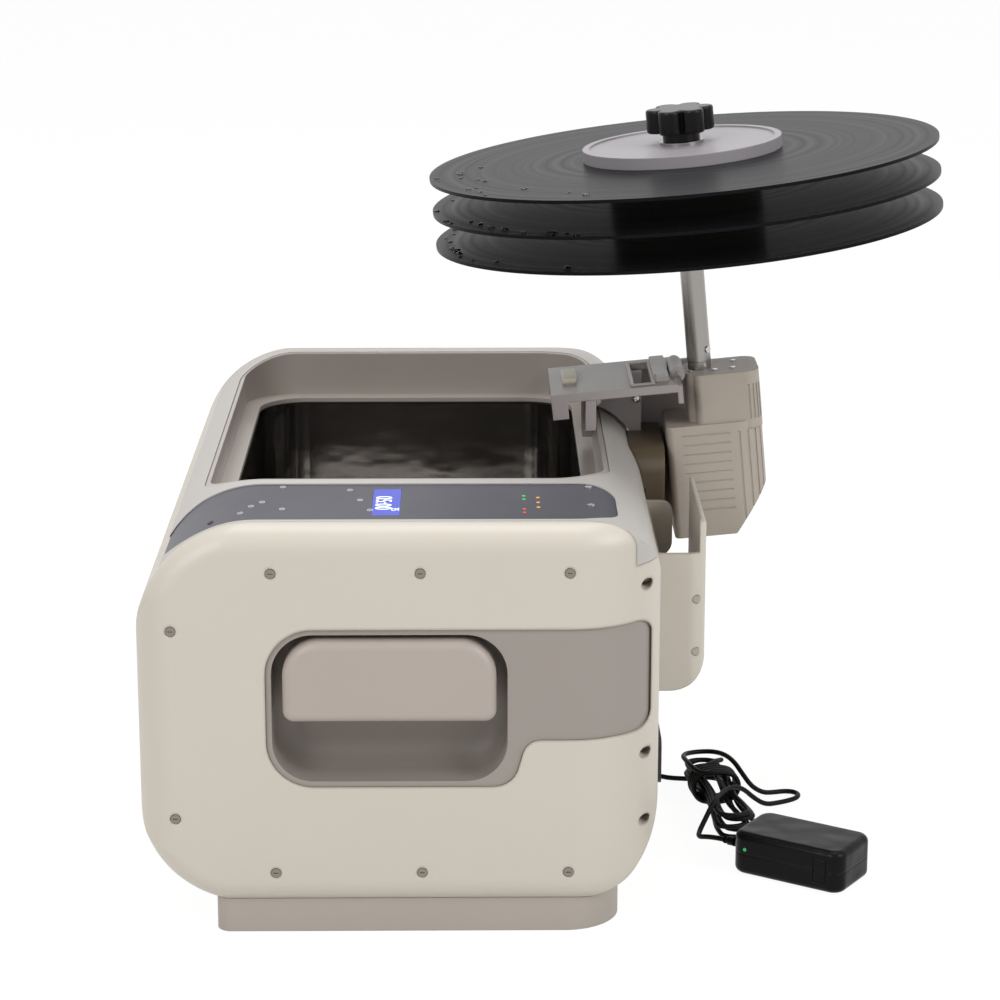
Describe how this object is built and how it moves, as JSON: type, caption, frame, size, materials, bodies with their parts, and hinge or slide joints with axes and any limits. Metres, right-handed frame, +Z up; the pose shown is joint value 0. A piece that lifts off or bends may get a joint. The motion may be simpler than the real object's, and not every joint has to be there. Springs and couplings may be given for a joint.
{
  "type": "record cleaning machine",
  "caption": "Ultrasonic record cleaning machine with a tilting, motor-driven rack that lowers discs into its steel tank, a touch strip, end grips, a rear holder and a plug-in supply",
  "frame": {"origin": "on the surface the machine stands on, under the middle of the housing's width and length", "axes": "+X towards the housing's rear wall, which carries the rack and the holder; -Y towards the end with the control strip; +Z up"},
  "size_m": [0.4578, 0.467, 0.4128],
  "materials": {
    "cream_plastic": "smooth",
    "light_plastic": "smooth",
    "grey_plastic": "smooth",
    "taupe_plastic": "smooth",
    "warm_grey_plastic": "smooth",
    "brown_plastic": "smooth",
    "black_plastic": "fine texture",
    "white_plastic": "smooth",
    "strip_film": "satin film",
    "display_lens": "backlit blue",
    "board": "varnished",
    "tank_steel": "polished inside",
    "sheet_steel": "zinc plated",
    "chrome": "polished",
    "bearing_steel": "turned",
    "motor_steel": "plain",
    "vinyl": "grooved",
    "rubber_black": "matt",
    "silicone_pad": "matt",
    "transducer_metal": "turned"
  },
  "bodies": {
    "base": {"pedestal": "warm_grey_plastic", "pedestal_pads": "rubber_black", "body_shell": "cream_plastic", "panel_end_cap": "cream_plastic", "plain_end_cap": "cream_plastic", "panel_end_screws": "chrome", "plain_end_screws": "chrome", "panel_end_frame": "sheet_steel", "plain_end_frame": "sheet_steel", "panel_handle_trim": "taupe_plastic", "plain_handle_trim": "taupe_plastic", "panel_grip": "taupe_plastic", "plain_grip": "taupe_plastic", "top_frame": "light_plastic", "well_surround": "light_plastic", "tank_gasket": "rubber_black", "steel_tank": "tank_steel", "transducers": "transducer_metal", "heater_mats": "silicone_pad", "control_strip": "strip_film", "display_window": "display_lens", "control_board": "board", "strip_screws": "chrome", "generator_board": "board", "fan_frame": "black_plastic", "mains_inlet": "black_plastic", "rear_holder": "cream_plastic", "holder_screws": "chrome", "saddle_bracket": "grey_plastic", "outer_leg": "brown_plastic", "saddle_screws": "chrome", "rim_pads": "silicone_pad", "hinge_pin": "chrome", "dc_jack": "black_plastic", "dc_plug": "black_plastic", "supply_cord": "rubber_black", "cord_hank": "rubber_black", "adapter_lead": "rubber_black", "adapter_base": "black_plastic", "adapter_cover": "black_plastic", "adapter_prongs": "chrome"},
    "lock": {"lock_slider": "grey_plastic"},
    "rack": {"motor_case_near": "taupe_plastic", "motor_case_far": "taupe_plastic", "motor_top_plate": "grey_plastic", "motor_case_screws": "chrome", "gearmotor": "motor_steel", "shaft_bush": "bearing_steel"},
    "spindle": {"drive_shaft": "chrome", "spindle_tube": "chrome", "set_screw": "chrome", "backing_disc": "white_plastic", "record_spacers": "white_plastic", "record_lower": "vinyl", "record_middle": "vinyl", "record_upper": "vinyl", "clamp_disc": "white_plastic"},
    "clamp": {"clamp_washer": "chrome"},
    "knob": {"clamp_knob": "black_plastic"},
    "fan": {"fan_impeller": "black_plastic"}
  },
  "joints": [
    {"name": "rack_tilt", "type": "hinge", "parent": "base", "child": "rack", "pos_m": [0.16147, 0.0366, 0.25333], "axis": [0, -1, 0], "range_deg": [0, 84.6]},
    {"name": "spindle_spin", "type": "hinge", "parent": "rack", "child": "spindle", "pos_m": [0.176, 0.0366, 0.2537], "axis": [-0.0941, 0, 0.9956], "continuous": true},
    {"name": "clamp_slide", "type": "slide", "parent": "spindle", "child": "clamp", "axis": [-0.0941, 0, 0.9956], "range_m": [0, 0.00375]},
    {"name": "knob_turn", "type": "hinge", "parent": "clamp", "child": "knob", "pos_m": [0.16235, 0.0366, 0.39806], "axis": [-0.0941, 0, 0.9956], "range_deg": [0, 1081]},
    {"name": "lock_slide", "type": "slide", "parent": "base", "child": "lock", "axis": [-0.9956, 0, -0.0941], "range_m": [0, 0.004]},
    {"name": "fan_spin", "type": "hinge", "parent": "base", "child": "fan", "pos_m": [0.125, 0.12, 0.1157], "axis": [1, 0, 0], "continuous": true}
  ],
  "couplings": [
    {"joint": "knob_turn", "follows": "clamp_slide", "rad_per_m": 5026.5}
  ]
}
